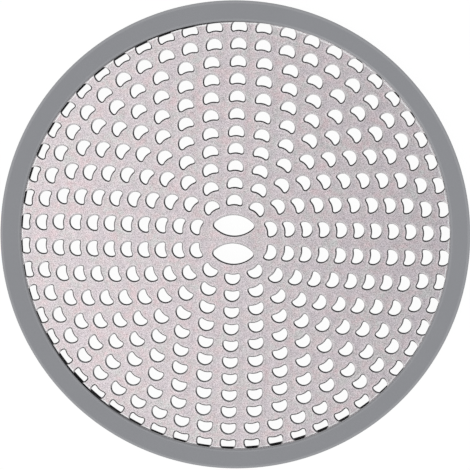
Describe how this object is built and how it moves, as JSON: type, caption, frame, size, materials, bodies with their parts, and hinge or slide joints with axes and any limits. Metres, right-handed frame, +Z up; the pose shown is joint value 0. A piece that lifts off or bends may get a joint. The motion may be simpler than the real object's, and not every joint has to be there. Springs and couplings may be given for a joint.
{
  "type": "sink strainer",
  "caption": "Flat round drain strainer: a thin steel disc with rings of bean-shaped holes and two finger slots, held by its edge in a soft raised rim.",
  "frame": {"origin": "centre of the circle that the rim stands on, on the floor around the drain", "axes": "+Z up, square to the disc; +X along the length of the finger slots; +Y across the bridge between them"},
  "size_m": [0.146, 0.146, 0.0067],
  "materials": {
    "steel": "satin stainless steel with a faint pinkish cast and a fine grain",
    "silicone": "matte mid-grey silicone"
  },
  "bodies": {
    "root": {"perforated_disc": "steel", "silicone_rim": "silicone"}
  },
  "joints": []
}
